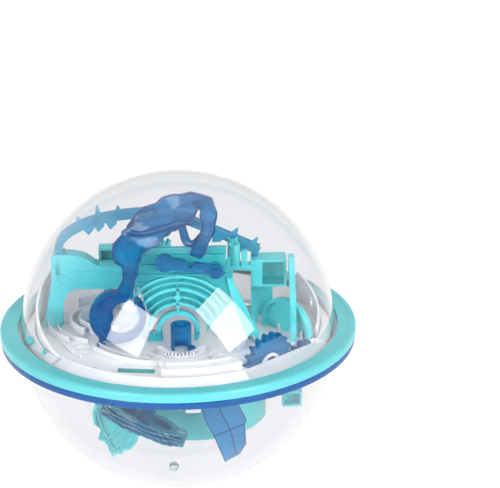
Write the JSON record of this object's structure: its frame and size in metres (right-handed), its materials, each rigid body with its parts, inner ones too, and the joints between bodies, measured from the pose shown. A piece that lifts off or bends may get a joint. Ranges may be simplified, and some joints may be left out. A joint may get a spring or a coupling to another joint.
{
  "type": "3d maze ball puzzle",
  "caption": "Clear sphere clamped by a two-tone ring, holding a maze plate with arches, channels, gears and chutes that a small steel ball runs through.",
  "frame": {"origin": "centre of the sphere, in the middle plane of the maze plate", "axes": "+Z square to the ring towards the upper dome, +X right, -Y the front"},
  "size_m": [0.2152, 0.2152, 0.193],
  "materials": {
    "clear_shell": "polished clear",
    "white_plastic": "satin moulded",
    "turquoise_plastic": "satin moulded",
    "clear_blue_plastic": "translucent gloss",
    "deep_blue_plastic": "translucent gloss",
    "light_blue_plastic": "translucent gloss",
    "rim_blue_plastic": "gloss",
    "steel": "polished"
  },
  "bodies": {
    "case": {"upper_shell": "clear_shell", "lower_shell": "clear_shell", "upper_rim": "turquoise_plastic", "lower_rim": "rim_blue_plastic", "rim_screws": "steel", "maze_plate": "white_plastic", "plate_screws": "steel", "left_fence": "white_plastic", "right_fence": "white_plastic", "raised_track": "white_plastic", "cup_wall": "white_plastic", "picket_ring": "white_plastic", "zigzag_fence": "white_plastic", "left_arch": "turquoise_plastic", "spiked_rail": "light_blue_plastic", "fan_grille": "turquoise_plastic", "fan_strut": "turquoise_plastic", "rear_block": "turquoise_plastic", "twist_track": "clear_blue_plastic", "loop_channel": "deep_blue_plastic", "loop_pin": "deep_blue_plastic", "lever_pin": "deep_blue_plastic", "pipe_cluster": "turquoise_plastic", "corner_box": "turquoise_plastic", "right_fin": "turquoise_plastic", "hood_disc": "turquoise_plastic", "center_tube": "clear_blue_plastic", "tube_outlet": "deep_blue_plastic", "gear_pins": "steel", "gear_bracket": "white_plastic", "leaf_scoop": "turquoise_plastic", "wheel_pin": "steel", "wheel_hanger": "clear_blue_plastic", "bowl_wall": "turquoise_plastic", "chute": "clear_blue_plastic", "slot_tray": "turquoise_plastic", "hanging_block": "turquoise_plastic"},
    "lever_arm": {"lever": "clear_blue_plastic"},
    "drive_gear": {"large_gear": "clear_blue_plastic", "gear_clip": "white_plastic"},
    "driven_gear": {"small_gear": "clear_blue_plastic"},
    "spin_wheel": {"striped_wheel": "clear_blue_plastic"},
    "ball": {"steel_ball": "steel"}
  },
  "joints": [
    {"name": "ball_roll", "type": "hinge", "parent": "case", "child": "ball", "pos_m": [0, 0, -0.0015], "axis": [0, 1, 0], "range_deg": [-55, 55]},
    {"name": "drive_gear_spin", "type": "hinge", "parent": "case", "child": "drive_gear", "pos_m": [0.052, -0.046, -0.004], "axis": [0.6691, -0.7431, 0], "continuous": true},
    {"name": "driven_gear_spin", "type": "hinge", "parent": "case", "child": "driven_gear", "pos_m": [0.07293, -0.02715, -0.00999], "axis": [0.6691, -0.7431, 0], "continuous": true},
    {"name": "lever_tip", "type": "hinge", "parent": "case", "child": "lever_arm", "pos_m": [0.0228, -0.0242, 0.047], "axis": [0, -1, 0], "range_deg": [-6, 16]},
    {"name": "wheel_spin", "type": "hinge", "parent": "case", "child": "spin_wheel", "pos_m": [-0.0215, -0.052, -0.0377], "axis": [0.4039, 0.2419, 0.8822], "continuous": true}
  ],
  "couplings": [
    {"joint": "driven_gear_spin", "follows": "drive_gear_spin", "ratio": -1.6667}
  ]
}
